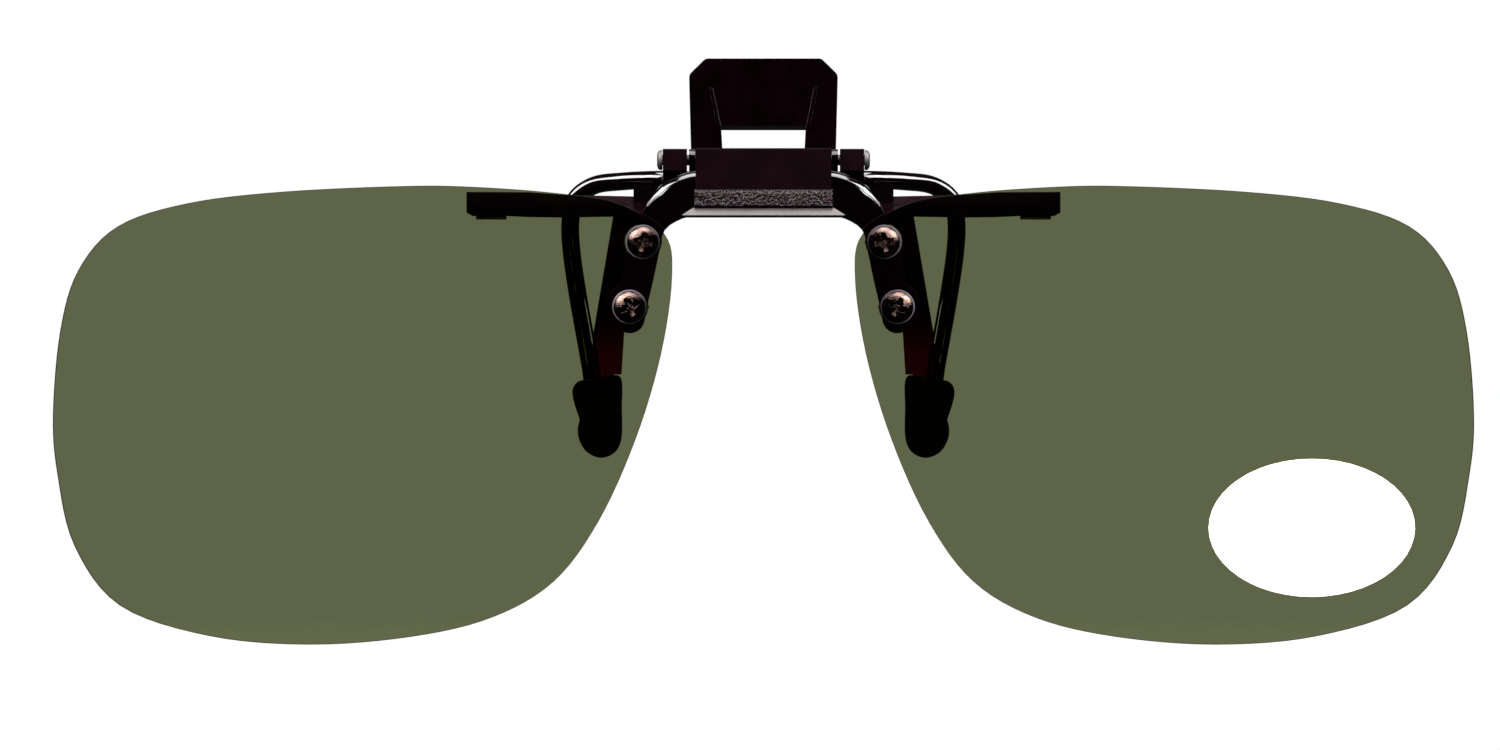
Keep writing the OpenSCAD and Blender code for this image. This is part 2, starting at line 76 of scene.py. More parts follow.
ARM_EDGE = [(6.0, 23.45), (7.07, 23.33), (8.92, 22.63), (10.17, 21.53), (11.10, 19.98), (12.0, 17.8)]
ARM_X, ARM_Z, ARM_FADE_X = (6.35, 11.05), (19, 24), 10.0
ARM_ROUND, ARM_ROUND_END, ARM_ROUND_IN = 0.88, 0.1, 0.02
BAND_HALF, BAND_TOP, BAND_LOW = 6.44, (-5.6, 21.66), (-5.95, 20.18)
BAND_LIFT, BAND_SEAT = 0.12, 0.2
BAND_ROLL_DEEP, BAND_ROLL_SHARE = 0.11, 0.35
BAND_GRAINS = ((0.17, 0.085, 3.3), (0.08, 0.03, 8.1))  # grain size, height and its layer in the noise
BOX_HALF, BOX_BOTTOM, BOX_TOP = 6.36, 19.5, 25.4
LIP_FRONT_TOP, LIP_BACK_TOP = 19.25, 19.95
EAR_INNER, EAR_BOTTOM = 7.07, 22.5
BROW_X, BROW_BOTTOM = 12.3, 19.1
WINDOW_HALF, WINDOW_Z = 4.1, (24.9, 30)
LENS_CURVE_R, LENS_FRONT, LENS_POLE = 520.0, -4.38, (11.925, 13.775)
LABEL_LIFT = 0.03

SHARP_FROM = 40  # degrees between faces

# ------------------------------------------------------------------ mesh helpers

def new_object(name, mesh):
    """Links a mesh as an object of that name."""
    piece = bpy.data.objects.new(name, mesh)
    bpy.context.scene.collection.objects.link(piece)
    return piece


def mesh_from(verts, faces):
    """A mesh from points in millimetres."""
    mesh = bpy.data.meshes.new("mesh")
    mesh.from_pydata([tuple(v) for v in verts], [], faces)
    mesh.update()
    return mesh


def baked(piece):
    """Applies a piece's modifiers."""
    bpy.context.view_layer.update()
    graph = bpy.context.evaluated_depsgraph_get()
    mesh = bpy.data.meshes.new_from_object(piece.evaluated_get(graph), depsgraph=graph)
    piece.modifiers.clear()
    piece.data = mesh
    return piece


def to_metres(piece):
    """Scales a finished mesh from millimetres to metres."""
    piece.data.transform(Matrix.Scale(MM, 4))
    piece.data.update()
    return piece


def smooth(piece, angle=35):
    """Smooth shading with sharp edges above an angle."""
    piece.data.shade_smooth()
    piece.data.set_sharp_from_angle(angle=math.radians(angle))
    return piece


def cad_copy(name, node, flat=0.6):
    """A welded copy of a CAD node in millimetres, with its flat faces joined unless flat is 0."""
    work = bmesh.new()
    work.from_mesh(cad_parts[node].data)
    bmesh.ops.scale(work, vec=(1 / MM,) * 3, verts=work.verts)
    bmesh.ops.remove_doubles(work, verts=work.verts, dist=0.002)
    if flat:
        bmesh.ops.dissolve_limit(
            work, angle_limit=math.radians(flat), verts=work.verts, edges=work.edges, delimit={"NORMAL"}
        )
    mesh = bpy.data.meshes.new(name)
    work.to_mesh(mesh)
    work.free()
    return new_object(name, mesh)


def weigh_normals(piece):
    """Large faces keep their own normals, so that only the rounds between them shade as round."""
    normals = piece.modifiers.new("flats", "WEIGHTED_NORMAL")
    normals.keep_sharp = True
    return baked(piece)


def rounded(piece, width, segments=3, angle=35, by_weight=False):
    """Rounds a piece's edges, by their weights if asked, and shades it so that its flats stay flat."""
    bevel = piece.modifiers.new("round", "BEVEL")
    bevel.width = width
    bevel.segments = segments
    bevel.limit_method = "WEIGHT" if by_weight else "ANGLE"
    bevel.angle_limit = math.radians(angle)
    bevel.miter_outer = "MITER_ARC"
    baked(piece)
    smooth(piece, SHARP_FROM)
    return weigh_normals(piece)


def finish_piece(piece, material, body, node):
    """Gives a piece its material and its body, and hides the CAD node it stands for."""
    piece.data.materials.clear()
    for each in material if isinstance(material, (list, tuple)) else [material]:
        piece.data.materials.append(each)
    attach(piece, body)
    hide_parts(node)


def catmull(points, steps):
    """The smooth curve through points, with a number of steps between two of them."""
    p = [np.array(q, float) for q in points]
    out = []
    for i in range(len(p) - 1):
        a, b, c, d = p[max(i - 1, 0)], p[i], p[i + 1], p[min(i + 2, len(p) - 1)]
        for j in range(steps):
            t = j / steps
            square, cube = 2 * a - 5 * b + 4 * c - d, 3 * b - a - 3 * c + d
            out.append(0.5 * (2 * b + (c - a) * t + square * t**2 + cube * t**3))
    return out + [p[-1]]


def tube(path, radius, sides, across):
    """A round tube with closed ends along a path; across is never parallel to the path."""
    verts, faces = [], []
    for i, point in enumerate(path):
        along = path[min(i + 1, len(path) - 1)] - path[max(i - 1, 0)]
        along = along / np.linalg.norm(along)
        u = np.cross(along, across)
        u = u / np.linalg.norm(u)
        v = np.cross(along, u)
        for k in range(sides):
            a = 2 * math.pi * k / sides
            verts.append(point + radius * (math.cos(a) * u + math.sin(a) * v))
    for i in range(len(path) - 1):
        for k in range(sides):
            k2 = (k + 1) % sides
            faces.append((i * sides + k, (i + 1) * sides + k, (i + 1) * sides + k2, i * sides + k2))
    faces.append(tuple(range(sides)))
    last = (len(path) - 1) * sides
    faces.append(tuple(last + k for k in reversed(range(sides))))
    return mesh_from(verts, faces)


def lathe(profile, sides, centre, axis="Y"):
    """A solid of revolution: profile is (radius, depth) from one end of the axis to the other."""
    verts, faces = [], []
    for radius, depth in profile:
        for k in range(sides):
            a = 2 * math.pi * k / sides
            r, s = radius * math.cos(a), radius * math.sin(a)
            x, y, z = (r, depth, s) if axis == "Y" else (depth, r, s)
            verts.append((centre[0] + x, centre[1] + y, centre[2] + z))
    for i in range(len(profile) - 1):
        for k in range(sides):
            k2 = (k + 1) % sides
            faces.append((i * sides + k, i * sides + k2, (i + 1) * sides + k2, (i + 1) * sides + k))
    faces.append(tuple(reversed(range(sides))))
    last = (len(profile) - 1) * sides
    faces.append(tuple(last + k for k in range(sides)))
    mesh = mesh_from(verts, faces)
    outward(mesh)
    return mesh


def outward(mesh):
    """Turns a closed mesh's faces outwards."""
    work = bmesh.new()
    work.from_mesh(mesh)
    bmesh.ops.recalc_face_normals(work, faces=work.faces)
    work.to_mesh(mesh)
    work.free()


def mirror_x(mesh, side):
    """Mirrors a mesh made for the +X side when side is -1."""
    if side < 0:
        mesh.transform(Matrix.Scale(-1, 4, Vector((1, 0, 0))))
        mesh.flip_normals()


# ------------------------------------------------------------------ material helpers

def material(name):
    """An empty node material: its nodes, links and output."""
    made = bpy.data.materials.new(name)
    made.use_nodes = True
    nodes, links = made.node_tree.nodes, made.node_tree.links
    nodes.clear()
    out = nodes.new("ShaderNodeOutputMaterial")
    return made, nodes, links, out


def node(nodes, kind, **inputs):
    """A shader node with some inputs set by name."""
    made = nodes.new(kind)
    for key, value in inputs.items():
        made.inputs[key.replace("_", " ")].default_value = value
    return made


def rgb(r, g, b):
    """An sRGB colour, 0 to 255, as linear RGBA."""
    def lin(c):
        c = c / 255
        return c / 12.92 if c <= 0.04045 else ((c + 0.055) / 1.055) ** 2.4
    return (lin(r), lin(g), lin(b), 1.0)


def object_noise(nodes, links, scale, detail=3.0):
    """Noise in the piece's own coordinates; scale is in cells per metre."""
    where = nodes.new("ShaderNodeTexCoord")
    grains = node(nodes, "ShaderNodeTexNoise", Scale=scale, Detail=detail)
    links.new(where.outputs["Object"], grains.inputs["Vector"])
    return grains


def ramp(nodes, links, source, low, high):
    """A colour ramp from low to high over the middle of a noise's range."""
    made = nodes.new("ShaderNodeValToRGB")
    for stop, position, colour in zip(made.color_ramp.elements, (0.35, 0.65), (low, high)):
        stop.position, stop.color = position, colour
    links.new(source, made.inputs["Fac"])
    return made.outputs["Color"]


def map_range(nodes, links, source, old, new):
    """A value moved from one range to another and held inside it."""
    made = nodes.new("ShaderNodeMapRange")
    made.inputs["From Min"].default_value, made.inputs["From Max"].default_value = old
    made.inputs["To Min"].default_value, made.inputs["To Max"].default_value = new
    links.new(source, made.inputs["Value"])
    return made.outputs["Result"]


def arithmetic(nodes, links, operation, source, *values):
    """A sum on a value: its operation and the other values."""
    made = nodes.new("ShaderNodeMath")
    made.operation = operation
    links.new(source, made.inputs[0])
    for k, value in enumerate(values, 1):
        made.inputs[k].default_value = value
    return made.outputs[0]


def blend_shaders(nodes, links, share, first, second, out):
    """Sends a blend of two shaders to the output; share is the second one's part."""
    mix = nodes.new("ShaderNodeMixShader")
    links.new(share, mix.inputs["Fac"])
    links.new(first, mix.inputs[1])
    links.new(second, mix.inputs[2])
    links.new(mix.outputs["Shader"], out.inputs["Surface"])


def relief(nodes, links, height, strength, depth, shader):
    """Fine relief on a shader, its depth in metres."""
    bump = node(nodes, "ShaderNodeBump", Strength=strength, Distance=depth)
    links.new(height, bump.inputs["Height"])
    links.new(bump.outputs["Normal"], shader.inputs["Normal"])


def moulded_parts(name, low, high, rough=0.32, grain=9000, bump=0.06, gloss=0.5):
    """Moulded plastic: slight colour drift, fine grain in bump and roughness; gloss 0.5 is IOR 1.5."""
    made, nodes, links, out = material(name)
    shader = node(nodes, "ShaderNodeBsdfPrincipled", Roughness=rough, Specular_IOR_Level=gloss)
    drift = object_noise(nodes, links, 420, 2)
    links.new(ramp(nodes, links, drift.outputs["Fac"], low, high), shader.inputs["Base Color"])
    fine = object_noise(nodes, links, grain, 4)
    worn = map_range(nodes, links, fine.outputs["Fac"], (0.0, 1.0), (rough * 0.75, rough * 1.3))
    links.new(worn, shader.inputs["Roughness"])
    relief(nodes, links, fine.outputs["Fac"], bump, 0.00002, shader)
    links.new(shader.outputs["BSDF"], out.inputs["Surface"])
    return made, nodes, links, out, shader


def moulded(name, low, high, **look):
    """Moulded plastic as a material."""
    return moulded_parts(name, low, high, **look)[0]


def metal(name, colour, rough, grain=14000, bump=0.04, depth=0.00001):
    """Metal with fine drawn or turned marks."""
    made, nodes, links, out = material(name)
    shader = node(nodes, "ShaderNodeBsdfPrincipled", Metallic=1.0, Roughness=rough)
    fine = object_noise(nodes, links, grain, 5)
    dark = tuple(c * 0.8 for c in colour[:3]) + (1,)
    links.new(ramp(nodes, links, fine.outputs["Fac"], dark, colour), shader.inputs["Base Color"])
    relief(nodes, links, fine.outputs["Fac"], bump, depth, shader)
    links.new(shader.outputs["BSDF"], out.inputs["Surface"])
    return made


# ------------------------------------------------------------------ materials

def by_height(nodes, links, low, high, stops=(0.0, 1.0)):
    """The share of the way up from one height in millimetres to another, as values between two stops."""
    where = nodes.new("ShaderNodeTexCoord")
    split = nodes.new("ShaderNodeSeparateXYZ")
    links.new(where.outputs["Object"], split.inputs["Vector"])
    return map_range(nodes, links, split.outputs["Z"], (low * MM, high * MM), stops)


def painted_light_by_height(parts, below, low, high):
    """A moulded plastic takes a second colour below a height, blended between two heights; the second colour is
    painted light, standing in for the difference in light between higher and lower parts.
    """
    _, nodes, links, _, shader = parts
    tint = shader.inputs["Base Color"].links[0].from_socket
    mix = nodes.new("ShaderNodeMix")
    mix.data_type = "RGBA"
    links.new(by_height(nodes, links, low, high), mix.inputs["Factor"])
    first, second, blend = mix.inputs[6], mix.inputs[7], mix.outputs[2]  # the colour sockets among its many
    first.default_value = below
    links.new(tint, second)
    links.new(blend, shader.inputs["Base Color"])
    return parts


def clip_plastic():
    """Dark brown plastic of the base: black high up, with lighter colours painted further down to make up for the
    shade the tinted lenses cast on the legs; low on the legs some red light comes through.
    """
    plain = moulded_parts("clip_plastic", rgb(2, 0, 1), rgb(4, 1, 2), rough=0.16, gloss=0.15)
    # painted light: lighter base colours below these heights make up for the shade the lenses cast on the lower
    # base and legs
    upper = painted_light_by_height(plain, rgb(14, 3, 6), 20.4, 20.7)
    made, nodes, links, out, shader = painted_light_by_height(upper, rgb(40, 11, 20), 18.6, 19.3)
    red = node(nodes, "ShaderNodeBsdfTransparent", Color=(0.32, 0.075, 0.06, 1))
    let_through = by_height(nodes, links, 11.0, 6.0, (0.0, 0.85))
    blend_shaders(nodes, links, let_through, shader.outputs["BSDF"], red.outputs["BSDF"], out)
    return made


def bar_plastic():
    """Plastic of the brow bars, with a painted highlight: a little paler at their tops, where the light from above
    falls.
    """
    plain = moulded_parts("bar_plastic", rgb(15, 5, 8), rgb(26, 12, 15), rough=0.26, gloss=0.1, bump=0.2)
    # painted highlight: the bars are darker below 20.2 mm and paler above 20.9 mm, as the light from above falls
    # on their tops
    return painted_light_by_height(plain, rgb(9, 2, 5), 20.2, 20.9)[0]


def lens_tint():
    """Tinted sheet: each of its two faces passes the square root of the tint and mirrors more at a slant."""
    made, nodes, links, out = material("lens_tint")
    clear_share = 0.92
    tint = tuple(math.sqrt(min(c / clear_share, 1)) for c in rgb(91, 97, 69)[:3]) + (1,)
    through = node(nodes, "ShaderNodeBsdfTransparent", Color=tint)
    sheen = node(nodes, "ShaderNodeBsdfGlossy", Roughness=0.02, Color=(1, 1, 1, 1))
    facing = node(nodes, "ShaderNodeLayerWeight", Blend=0.5)
    steep = arithmetic(nodes, links, "POWER", facing.outputs["Facing"], 5)
    mirrored = arithmetic(nodes, links, "MULTIPLY_ADD", steep, 0.9, 0.008)
    blend_shaders(nodes, links, mirrored, through.outputs["BSDF"], sheen.outputs["BSDF"], out)
    return made


def label_film_painted_glow():
    """White film with a painted glow: a little light of its own keeps it as bright as white paper looks."""
    made, _, _, _, shader = moulded_parts(
        "label_film_painted_glow", rgb(250, 250, 249), rgb(253, 253, 252), rough=0.4, grain=12000, bump=0.02
    )
    # painted glow: the film emits a little light though it is no lamp
    shader.inputs["Emission Color"].default_value = (1, 1, 1, 1)
    shader.inputs["Emission Strength"].default_value = 0.3
    return made


PLASTIC = clip_plastic()
BAR_PLASTIC = bar_plastic()
LEVER_PLASTIC = moulded("lever_plastic", rgb(1, 0, 0), rgb(3, 0, 1), rough=0.1, gloss=0.25)
ARM_PLASTIC = moulded("arm_plastic", rgb(1, 0, 0), rgb(2, 0, 1), rough=0.08)
BOX_PLASTIC = moulded("box_plastic", rgb(9, 3, 5), rgb(12, 4, 6), rough=0.14, gloss=0.14)
DULL_PLASTIC = moulded("dull_edge", rgb(4, 1, 2), rgb(8, 3, 4), rough=0.6, gloss=0.02)
# painted highlight: the lip is the bridge's dark plastic, coloured pale grey for the light it catches from above
LIP_PAINTED_HIGHLIGHT = moulded("lip_painted_highlight", rgb(50, 44, 44), rgb(56, 50, 50), rough=0.2, gloss=0.14)
BAND = moulded("band_plastic", rgb(12, 5, 6), rgb(18, 9, 10), rough=0.06, grain=20000, gloss=0.1)
WIRE = moulded("wire_coating", rgb(2, 0, 1), rgb(3, 1, 2), rough=0.06, grain=5000, bump=0.02)
RUBBER = moulded("tip_rubber", rgb(24, 6, 13), rgb(30, 9, 17), rough=0.4, grain=7000, bump=0.12, gloss=0.3)
PAD_RUBBER = moulded("pad_rubber", rgb(60, 54, 38), rgb(72, 64, 48), rough=0.45, grain=7000, bump=0.12, gloss=0.3)
STEEL = metal("pin_steel", rgb(88, 84, 84), 0.6)
SPRING = metal("spring_steel", rgb(175, 170, 160), 0.2)
BRONZE = metal("screw_metal", rgb(92, 74, 68), 0.12, grain=10000, bump=1.0, depth=0.00004)
# painted highlight: a paler, rougher colour on the screws' flange stands in for the thin bright ring their edges
# show
RING_PAINTED_HIGHLIGHT = moulded("screw_ring_painted_highlight", rgb(66, 58, 70), rgb(80, 72, 84), rough=0.5)
NYLON = moulded("washer_nylon", rgb(200, 200, 190), rgb(215, 214, 206), rough=0.5)
LENS = lens_tint()
# painted shade: the lens rim is coloured near black, standing in for the dark line that refraction draws along a
# lens edge
LENS_RIM = moulded("lens_rim", rgb(8, 9, 3), rgb(12, 13, 5), rough=0.3, grain=16000, gloss=0.05)
LABEL = label_film_painted_glow()


# ------------------------------------------------------------------ pieces of the clip base

def base_zone(c, up):
    """Which of the base's materials a face takes, by its middle in millimetres and how far it faces up."""
    main, ear, bar, dull = range(4)
    if abs(c.x) > EAR_INNER and c.z > EAR_BOTTOM and c.y < 0:
        return dull if up > 0.2 else ear
    if abs(c.x) > BROW_X and c.z > BROW_BOTTOM and up < 0.5:
        return bar
    return main


def paint_zones(piece, zone):
    """Gives each face the material that a rule picks for it."""
    for face in piece.data.polygons:
        face.material_index = zone(face.center / MM, face.normal.z)


def make_base():
    """Base frame with its brow pads and front tips."""
    piece = rounded(cad_copy("base_body", "base_frame"), 0.1)
    materials = [PLASTIC, BOX_PLASTIC, BAR_PLASTIC, DULL_PLASTIC]
    finish_piece(to_metres(piece), materials, "clip_base", "base_frame")
    paint_zones(piece, base_zone)
    for side in SIDES:
        pad = rounded(cad_copy(f"brow_cushion_{side}", f"brow_pad_{side}"), 0.12)
        finish_piece(to_metres(pad), PAD_RUBBER, "clip_base", f"brow_pad_{side}")
        tip = rounded(cad_copy(f"front_boot_{side}", f"front_tip_{side}"), 0.55, 5, 60)
        finish_piece(to_metres(tip), RUBBER, "clip_base", f"front_tip_{side}")


def make_pin():
    """Hinge pin with two domed, slightly chamfered heads."""
    inner = PIN_HALF - PIN_HEAD_DEEP
    head = [(0.55, PIN_HALF), (0.78, PIN_HALF - 0.08), (0.9, PIN_HALF - 0.2), (PIN_HEAD_R, PIN_HALF - 0.32)]
    end = head + [(PIN_HEAD_R, inner), (PIN_R, inner)]
    profile = [(radius, -x) for radius, x in end] + [(radius, x) for radius, x in reversed(end)]
    piece = new_object("hinge_pin", lathe(profile, 48, (0, AXLE[0], AXLE[1]), "X"))
    smooth(piece, SHARP_FROM)
    finish_piece(to_metres(piece), STEEL, "clip_base", "axle_pin")


def make_springs():
    """Detent leaf, and the wound closing spring with one leg down the base and one back under the tab."""
    leaf = rounded(cad_copy("detent_leaf", "detent_spring"), 0.04, 2)
    finish_piece(to_metres(leaf), SPRING, "clip_base", "detent_spring")
    steps, leg_steps = 40, 6
    last = int(COIL_TURNS * steps)
    y, z = AXLE
    low = z - COIL_LEG_DOWN
    path = [np.array((-COIL_HALF, y + COIL_R, low + k * COIL_LEG_DOWN / leg_steps)) for k in range(leg_steps)]
    for i in range(last + 1):
        a = 2 * math.pi * i / steps
        x = -COIL_HALF + 2 * COIL_HALF * i / last
        path.append(np.array((x, y + COIL_R * math.cos(a), z + COIL_R * math.sin(a))))
    path += [np.array((COIL_HALF, y + k * COIL_LEG_BACK / leg_steps, z - COIL_R)) for k in range(1, leg_steps + 1)]
    coil = smooth(new_object("closing_spring", tube(path, COIL_WIRE_R, 12, (1, 0, 0))), 60)
    finish_piece(to_metres(coil), SPRING, "clip_base", "torsion_spring")


# ------------------------------------------------------------------ pieces of the lever

def soften_window(piece, share):
    """Bevel weights: the sharp edges round the tab's window get only a share of the width."""
    work = bmesh.new()
    work.from_mesh(piece.data)
    weight = work.edges.layers.float.new("bevel_weight_edge")
    for edge in work.edges:
        middle = (edge.verts[0].co + edge.verts[1].co) / 2
        if len(edge.link_faces) == 2 and edge.calc_face_angle(0) > math.radians(35):
            inside = abs(middle.x) < WINDOW_HALF and middle.y > 0 and WINDOW_Z[0] < middle.z < WINDOW_Z[1]
            edge[weight] = share if inside else 1.0
    work.to_mesh(piece.data)
    work.free()


def make_lever():
    """Thumb tab, and the two jaw wires with their boots."""
    tab = cad_copy("thumb_tab", "thumb_lever", flat=0)
    soften_window(tab, 0.25)
    rounded(tab, 0.2, by_weight=True)
    finish_piece(to_metres(tab), LEVER_PLASTIC, "lever", "thumb_lever")
    for side, sign in SIDES.items():
        path = [np.array(WIRE_ROUTE[0]) + np.array((k, 0, 0)) for k in range(3)]
        path += catmull(WIRE_ROUTE[1:], 10)
        end = np.array(WIRE_TIP_END)
        path += [path[-1] + (end - path[-1]) * k / 6 for k in range(1, 7)]
        mesh = tube(path, WIRE_R, 24, (0, 1, 0))
        mirror_x(mesh, sign)
        outward(mesh)
        wire = smooth(new_object(f"jaw_rod_{side}", mesh), 60)
        finish_piece(to_metres(wire), WIRE, "lever", f"jaw_wire_{side}")
        boot = rounded(cad_copy(f"rear_boot_{side}", f"rear_tip_{side}"), 0.5, 5, 40)
        finish_piece(to_metres(boot), RUBBER, "lever", f"rear_tip_{side}")


# ------------------------------------------------------------------ pieces of the flip bridge

def arm_stations():
    """Along an arm's outer edge: points, outward directions and the radius of the round there."""
    path = [q for q in catmull([(x, 0, z) for x, z in ARM_EDGE], 8) if q[0] < ARM_X[1]]
    first = next(i for i, q in enumerate(path) if q[0] > ARM_X[0])
    share = (ARM_X[0] - path[first - 1][0]) / (path[first][0] - path[first - 1][0])
    path = [path[first - 1] + (path[first] - path[first - 1]) * share] + path[first:]
    stations = []
    for i, q in enumerate(path):
        along = path[min(i + 1, len(path) - 1)] - path[max(i - 1, 0)]
        gone = min(max((q[0] - ARM_FADE_X) / (ARM_X[1] - ARM_FADE_X), 0), 1)
        out = np.array((-along[2], 0, along[0])) / np.linalg.norm(along)
        stations.append((q, out, ARM_ROUND * (1 - gone) + ARM_ROUND_END * gone))
    return stations


def arm_cutter():
    """What comes off the outer front edge of an arm: all outside a quarter round that runs out downwards."""
    arc, first, last = 11, 8, 90
    clear_out, clear_front = 0.4, 0.05
    size = arc + 3
    verts = []
    stations = arm_stations()
    for q, out, r in stations:
        turns = [math.radians(first + (last - first) * k / (arc - 1)) for k in range(arc)]
        ring = [(r * math.sin(t) - r - ARM_ROUND_IN, ARM_FRONT + r - r * math.cos(t)) for t in turns]
        before = ARM_FRONT - clear_front
        ring += [(clear_out, ARM_FRONT + r), (clear_out, before), (ring[0][0], before)]
        verts += [q + out * n + np.array((0, y, 0)) for n, y in ring]
    faces = [tuple(range(size)), tuple(range((len(stations) - 1) * size, len(stations) * size))]
    for i in range(len(stations) - 1):
        for k in range(size):
            k2 = (k + 1) % size
            faces.append((i * size + k, i * size + k2, (i + 1) * size + k2, (i + 1) * size + k))
    return mesh_from(verts, faces)


def round_at(co, stations):
    """How far a point is off the arm's quarter round, and the round's own normal there."""
    at, side = np.array((abs(co.x), 0, co.z)), math.copysign(1, co.x)
    best = None
    for (q0, out0, r0), (q1, out1, r1) in zip(stations, stations[1:]):
        step = q1 - q0
        share = min(max(float(np.dot(at - q0, step) / np.dot(step, step)), 0), 1)
        away = float(np.linalg.norm(at - q0 - step * share))
        if best is None or away < best[0]:
            best = (away, q0 + step * share, out0 + (out1 - out0) * share, r0 + (r1 - r0) * share)
    _, q, out, r = best
    n, y = float(np.dot(at - q, out)) + r + ARM_ROUND_IN, co.y - ARM_FRONT - r
    return abs(math.hypot(n, y) - r), Vector((side * out[0] * n, y, out[2] * n)).normalized()


def true_rounds(piece):
    """The cut rounds take the exact normals of their curve, so highlights run along them unbroken."""
    far_off, aligned = 0.05, 0.9
    mesh, stations = piece.data, arm_stations()
    normals = [Vector(c.vector) for c in mesh.corner_normals]
    for face in mesh.polygons:
        c = face.center
        on_arm = ARM_X[0] < abs(c.x) < ARM_X[1] and ARM_Z[0] < c.z < ARM_Z[1]
        if not on_arm or not -0.999 < face.normal.y < -0.04:
            continue
        found = [round_at(mesh.vertices[v].co, stations) for v in face.vertices]
        if max(off for off, _ in found) < far_off and min(n.dot(face.normal) for _, n in found) > aligned:
            for k, (_, n) in zip(face.loop_indices, found):
                normals[k] = n
    mesh.normals_split_custom_set(normals)


def cut(piece, cutter):
    """Takes a cutter's shape off a piece and removes the cutter."""
    take = piece.modifiers.new("cut", "BOOLEAN")
    take.operation = "DIFFERENCE"
    take.solver = "EXACT"
    take.object = cutter
    baked(piece)
    bpy.data.objects.remove(cutter)


def bridge_zone(c, up):
    """Which of the bridge's materials a face takes, by its middle in millimetres and how far it faces up."""
    arm, box, lip, dull = range(4)
    on_step = abs(c.x) > 8 and PLATE_FRONT - 0.005 < c.y < ARM_FRONT + 0.004 and up > 0.1
    if on_step or c.z > BOX_TOP and up > 0.2:
        return dull
    # the lip's upward faces take the pale painted highlight
    if LIP_FRONT_TOP < c.z < LIP_BACK_TOP and c.y < -5.7 and up > 0.6:
        return lip
    if abs(c.x) < BOX_HALF and c.z > BOX_BOTTOM and c.y < -4.9:
        return box
    if abs(c.x) < 8 and c.z < 19.6 and c.y < -6:
        return dull
    return arm


def make_bridge():
    """Bridge with black arms, rounded along their outer front edges, a box, and the finger lip painted pale as the
    highlight of the light from above.
    """
    piece = rounded(cad_copy("flip_body", "flip_bridge"), 0.09)
    for sign in SIDES.values():
        mesh = arm_cutter()
        mirror_x(mesh, sign)
        outward(mesh)
        cut(piece, new_object("cutter", mesh))
    smooth(piece, SHARP_FROM)
    weigh_normals(piece)
    true_rounds(piece)
    materials = [ARM_PLASTIC, BOX_PLASTIC, LIP_PAINTED_HIGHLIGHT, DULL_PLASTIC]
    finish_piece(to_metres(piece), materials, "flip", "flip_bridge")
    paint_zones(piece, bridge_zone)


def make_band():
    """Spark-eroded grain on the band as real relief: a thin skin on its flat front, rolled over at the top."""
    columns, rows = 256, 30
    (y0, z0), (y1, z1) = BAND_TOP, BAND_LOW
    slope = math.hypot(y1 - y0, z1 - z0)
    normal = Vector((0, (z1 - z0) / slope, (y0 - y1) / slope))
    front = []
    for j in range(rows + 1):
        for i in range(columns + 1):
            x, t = BAND_HALF * (2 * i / columns - 1), j / rows
            at = Vector((x, y0 + (y1 - y0) * t, z0 + (z1 - z0) * t))
            height = BAND_LIFT - BAND_ROLL_DEEP * max(1 - t / BAND_ROLL_SHARE, 0) ** 2
            if 0 < i < columns and 0 < j < rows:
                for size, high, layer in BAND_GRAINS:
                    height += high * noise.noise(Vector((x / size, slope * t / size, layer)))
            front.append(at + normal * height)
    wide = columns + 1
    rim = list(range(wide)) + [wide * j + columns for j in range(1, rows + 1)]
    rim += [wide * rows + i for i in range(columns - 1, -1, -1)] + [wide * j for j in range(rows - 1, 0, -1)]
    faces = [
        (wide * j + i, wide * j + i + 1, wide * (j + 1) + i + 1, wide * (j + 1) + i)
        for j in range(rows) for i in range(columns)
    ]
    first = len(front)
    faces += [(rim[k], rim[(k + 1) % len(rim)], first + (k + 1) % len(rim), first + k) for k in range(len(rim))]
    faces.append(tuple(range(first, first + len(rim))))
    mesh = mesh_from(front + [front[k] - normal * BAND_SEAT for k in rim], faces)
    outward(mesh)
    piece = smooth(new_object("band_grain", mesh), 70)
    piece.data.materials.append(BAND)
    to_metres(piece)
    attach(piece, "flip")


def make_lens(side, sign):
    """Lens with rounded rim; its two faces take the exact normals of the sphere."""
    face_on = 0.98
    piece = cad_copy(f"lens_sheet_{side}", f"lens_{side}", flat=0.05)
    rounded(piece, 0.12, 2, 50)
    centre = Vector((sign * LENS_POLE[0], LENS_FRONT + LENS_CURVE_R, LENS_POLE[1]))
    mesh = piece.data
    normals = [Vector(c.vector) for c in mesh.corner_normals]
    for face in mesh.polygons:
        # rim faces take the dark painted shade of the edge
        face.material_index = 0 if abs(face.normal.y) > face_on else 1
        if abs(face.normal.y) < face_on:
            continue
        for k in face.loop_indices:
            away = (mesh.vertices[mesh.loops[k].vertex_index].co - centre).normalized()
            normals[k] = away if face.normal.y < 0 else -away
    mesh.normals_split_custom_set(normals)
    index = [f.material_index for f in mesh.polygons]
    finish_piece(to_metres(piece), [LENS, LENS_RIM], "flip", f"lens_{side}")
    piece.data.polygons.foreach_set("material_index", index)


def make_label():
    """Blank oval label, a hair clear of the lens so the two faceted sheets never cross."""
    piece = smooth(cad_copy("blank_label", "lens_label"), 30)
    for v in piece.data.vertices:
        v.co.y -= LABEL_LIFT
    finish_piece(to_metres(piece), LABEL, "flip", "lens_label")


